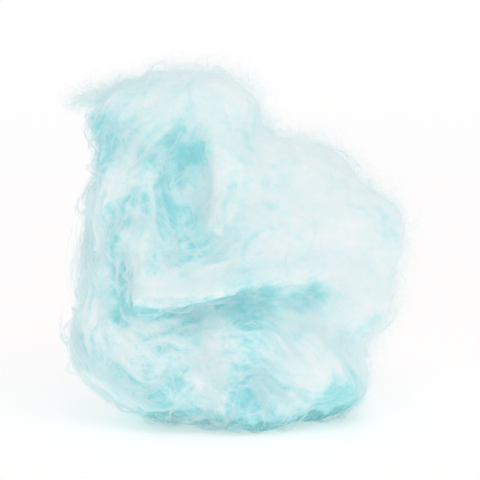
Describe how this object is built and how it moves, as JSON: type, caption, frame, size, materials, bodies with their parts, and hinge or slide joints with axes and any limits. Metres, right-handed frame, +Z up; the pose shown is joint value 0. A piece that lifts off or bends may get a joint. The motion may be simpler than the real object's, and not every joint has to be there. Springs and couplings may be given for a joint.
{
  "type": "tuft of cotton candy",
  "caption": "Torn tuft of pale aqua spun sugar: soft wads folded over a deep valley, a rolled ridge across the front, and a small flat rest underneath.",
  "frame": {"origin": "centre of the tuft's outline seen from above, on the surface that it rests on", "axes": "+Z up, -Y towards the front face with the rolled ridge, +X to the right as seen from the front"},
  "size_m": [0.075, 0.069, 0.078],
  "materials": {
    "spun_sugar": "matte, translucent fluff of very fine pale aqua sugar fibres, near white where it stands out and cyan in the folds"
  },
  "bodies": {
    "root": {"cotton_candy": "spun_sugar"}
  },
  "joints": []
}
